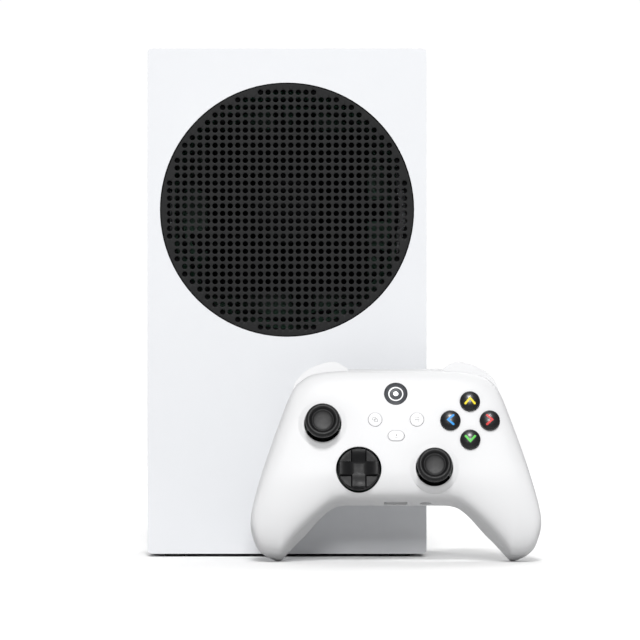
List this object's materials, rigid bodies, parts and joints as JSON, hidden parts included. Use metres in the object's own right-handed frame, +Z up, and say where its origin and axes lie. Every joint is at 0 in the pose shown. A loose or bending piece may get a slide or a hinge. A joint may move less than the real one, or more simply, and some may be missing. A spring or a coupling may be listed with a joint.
{
  "type": "game console with controller",
  "caption": "Upright slim console with a round perforated vent, and a wireless controller leaning on its front.",
  "frame": {"origin": "middle of the whole set on the floor: the centre of its bounding box in X and Y, at the bottom of the feet", "axes": "+Z up along the standing console, -Y out of the vent face towards the controller, +X to the right as the vent face is looked at"},
  "size_m": [0.2103, 0.1383, 0.275],
  "materials": {
    "case_white": "fine matte moulding",
    "vent_black": "fine matte moulding",
    "pad_white": "fine matte moulding",
    "soft_black": "soft matte",
    "black_plastic": "satin",
    "button_gloss": "gloss",
    "button_white": "satin",
    "steel": "plain",
    "aluminium": "plain",
    "board": "satin",
    "silicone": "soft matte"
  },
  "bodies": {
    "console": {"case_vent_half": "case_white", "case_base_half": "case_white", "vent_grille": "vent_black", "vent_tray": "vent_black", "fan_frame": "vent_black", "heatsink": "aluminium", "main_board": "board", "chassis_shield": "steel", "power_supply": "black_plastic", "ssd_module": "board", "front_usb_port": "steel", "hdmi_port": "steel", "rear_usb_ports": "steel", "ethernet_port": "steel", "power_inlet": "black_plastic", "storage_slot": "black_plastic", "stand_feet": "soft_black", "side_feet": "soft_black", "case_screws": "steel"},
    "fan": {"fan_rotor": "vent_black"},
    "power_button": {"power_button": "case_white"},
    "sync_button": {"sync_button": "case_white"},
    "pad": {"pad_front_shell": "pad_white", "pad_back_shell": "pad_white", "pad_bridge": "pad_white", "stick_base_left": "steel", "stick_base_right": "steel", "dpad_post": "black_plastic", "button_mat": "silicone", "pad_board": "board", "battery_cells": "steel", "rumble_motors": "steel", "pad_ports": "steel", "pad_screws": "steel", "trigger_shafts": "steel", "trigger_springs": "steel"},
    "stick_yoke_left": {"stick_yoke_left": "steel"},
    "stick_pivot_left": {"stick_pivot_left": "steel"},
    "stick_left": {"stick_left": "soft_black"},
    "stick_yoke_right": {"stick_yoke_right": "steel"},
    "stick_pivot_right": {"stick_pivot_right": "steel"},
    "stick_right": {"stick_right": "soft_black"},
    "dpad_rocker": {"dpad_rocker": "black_plastic"},
    "dpad": {"dpad": "black_plastic"},
    "button_a": {"button_a": "button_gloss"},
    "button_b": {"button_b": "button_gloss"},
    "button_x": {"button_x": "button_gloss"},
    "button_y": {"button_y": "button_gloss"},
    "button_home": {"button_home": "button_gloss"},
    "button_view": {"button_view": "button_white"},
    "button_menu": {"button_menu": "button_white"},
    "button_share": {"button_share": "button_white"},
    "bumper_right": {"bumper_right": "pad_white"},
    "bumper_left": {"bumper_left": "pad_white"},
    "trigger_left": {"trigger_left": "pad_white"},
    "trigger_right": {"trigger_right": "pad_white"},
    "battery_door": {"battery_door": "pad_white"},
    "rumble_weight_left": {"rumble_weight_left": "steel"},
    "rumble_weight_right": {"rumble_weight_right": "steel"},
    "pad_sync_button": {"pad_sync_button": "black_plastic"}
  },
  "joints": [
    {"name": "fan_spin", "type": "hinge", "parent": "console", "child": "fan", "pos_m": [-0.0297, 0.02007, 0.1878], "axis": [0, 1, 0], "continuous": true},
    {"name": "power_press", "type": "slide", "parent": "console", "child": "power_button", "axis": [1, 0, 0], "range_m": [0, 0.0008], "stiffness_N_per_m": 600, "springref_m": -0.0008},
    {"name": "sync_press", "type": "slide", "parent": "console", "child": "sync_button", "axis": [1, 0, 0], "range_m": [0, 0.0006], "stiffness_N_per_m": 400, "springref_m": -0.0008},
    {"name": "pad_lift", "type": "slide", "parent": "console", "child": "pad", "axis": [0, 0, 1], "range_m": [0, 0.3]},
    {"name": "stick_left_pitch", "type": "hinge", "parent": "pad", "child": "stick_yoke_left", "pos_m": [-0.0104, -0.04185, 0.07061], "axis": [1, 0, 0], "range_deg": [-15, 15], "stiffness_Nm_per_rad": 0.03},
    {"name": "stick_left_roll", "type": "hinge", "parent": "stick_yoke_left", "child": "stick_pivot_left", "pos_m": [-0.0104, -0.04185, 0.07061], "axis": [0, 0.2588, 0.9659], "range_deg": [-15, 15], "stiffness_Nm_per_rad": 0.03},
    {"name": "stick_left_click", "type": "slide", "parent": "stick_pivot_left", "child": "stick_left", "axis": [0, 0.9659, -0.2588], "range_m": [0, 0.0005], "stiffness_N_per_m": 2000, "springref_m": -0.0008},
    {"name": "stick_right_pitch", "type": "hinge", "parent": "pad", "child": "stick_yoke_right", "pos_m": [0.0485, -0.04804, 0.04753], "axis": [1, 0, 0], "range_deg": [-15, 15], "stiffness_Nm_per_rad": 0.03},
    {"name": "stick_right_roll", "type": "hinge", "parent": "stick_yoke_right", "child": "stick_pivot_right", "pos_m": [0.0485, -0.04804, 0.04753], "axis": [0, 0.2588, 0.9659], "range_deg": [-15, 15], "stiffness_Nm_per_rad": 0.03},
    {"name": "stick_right_click", "type": "slide", "parent": "stick_pivot_right", "child": "stick_right", "axis": [0, 0.9659, -0.2588], "range_m": [0, 0.0005], "stiffness_N_per_m": 2000, "springref_m": -0.0008},
    {"name": "dpad_roll", "type": "hinge", "parent": "pad", "child": "dpad_rocker", "pos_m": [0.0086, -0.05367, 0.04852], "axis": [0, 0.2588, 0.9659], "range_deg": [-4, 4], "stiffness_Nm_per_rad": 0.06},
    {"name": "dpad_pitch", "type": "hinge", "parent": "dpad_rocker", "child": "dpad", "pos_m": [0.0086, -0.05367, 0.04852], "axis": [1, 0, 0], "range_deg": [-4, 4], "stiffness_Nm_per_rad": 0.06},
    {"name": "button_a_press", "type": "slide", "parent": "pad", "child": "button_a", "axis": [0, 0.9659, -0.2588], "range_m": [0, 0.0016], "stiffness_N_per_m": 250, "springref_m": -0.002},
    {"name": "button_b_press", "type": "slide", "parent": "pad", "child": "button_b", "axis": [0, 0.9659, -0.2588], "range_m": [0, 0.0016], "stiffness_N_per_m": 250, "springref_m": -0.002},
    {"name": "button_x_press", "type": "slide", "parent": "pad", "child": "button_x", "axis": [0, 0.9659, -0.2588], "range_m": [0, 0.0016], "stiffness_N_per_m": 250, "springref_m": -0.002},
    {"name": "button_y_press", "type": "slide", "parent": "pad", "child": "button_y", "axis": [0, 0.9659, -0.2588], "range_m": [0, 0.0016], "stiffness_N_per_m": 250, "springref_m": -0.002},
    {"name": "button_home_press", "type": "slide", "parent": "pad", "child": "button_home", "axis": [0, 0.9272, -0.3746], "range_m": [0, 0.0006], "stiffness_N_per_m": 400, "springref_m": -0.0008},
    {"name": "button_view_press", "type": "slide", "parent": "pad", "child": "button_view", "axis": [0, 0.9659, -0.2588], "range_m": [0, 0.0006], "stiffness_N_per_m": 300, "springref_m": -0.0008},
    {"name": "button_menu_press", "type": "slide", "parent": "pad", "child": "button_menu", "axis": [0, 0.9659, -0.2588], "range_m": [0, 0.0006], "stiffness_N_per_m": 300, "springref_m": -0.0008},
    {"name": "button_share_press", "type": "slide", "parent": "pad", "child": "button_share", "axis": [0, 0.9659, -0.2588], "range_m": [0, 0.0006], "stiffness_N_per_m": 300, "springref_m": -0.0008},
    {"name": "bumper_right_press", "type": "hinge", "parent": "pad", "child": "bumper_right", "pos_m": [0.0565, -0.02036, 0.09943], "axis": [0, 0.9659, -0.2588], "range_deg": [0, 1.5], "stiffness_Nm_per_rad": 0.5, "springref_deg": -1.72},
    {"name": "bumper_left_press", "type": "hinge", "parent": "pad", "child": "bumper_left", "pos_m": [0.0001, -0.02036, 0.09943], "axis": [0, -0.9659, 0.2588], "range_deg": [0, 1.5], "stiffness_Nm_per_rad": 0.5, "springref_deg": -1.72},
    {"name": "trigger_left_pull", "type": "hinge", "parent": "pad", "child": "trigger_left", "pos_m": [-0.0103, -0.01515, 0.09027], "axis": [-1, 0, 0], "range_deg": [0, 14], "stiffness_Nm_per_rad": 0.03, "springref_deg": -20.05},
    {"name": "trigger_right_pull", "type": "hinge", "parent": "pad", "child": "trigger_right", "pos_m": [0.0669, -0.01515, 0.09027], "axis": [-1, 0, 0], "range_deg": [0, 14], "stiffness_Nm_per_rad": 0.03, "springref_deg": -20.05},
    {"name": "battery_door_slide", "type": "slide", "parent": "pad", "child": "battery_door", "axis": [0, 0.9659, -0.2588], "range_m": [0, 0.012]},
    {"name": "rumble_left_spin", "type": "hinge", "parent": "pad", "child": "rumble_weight_left", "pos_m": [-0.0307, -0.04444, 0.03662], "axis": [0, -0.9659, 0.2588], "continuous": true},
    {"name": "rumble_right_spin", "type": "hinge", "parent": "pad", "child": "rumble_weight_right", "pos_m": [0.0873, -0.04444, 0.03662], "axis": [0, -0.9659, 0.2588], "continuous": true},
    {"name": "pad_sync_press", "type": "slide", "parent": "pad", "child": "pad_sync_button", "axis": [0, -0.2588, -0.9659], "range_m": [0, 0.0006], "stiffness_N_per_m": 300, "springref_m": -0.0008}
  ]
}
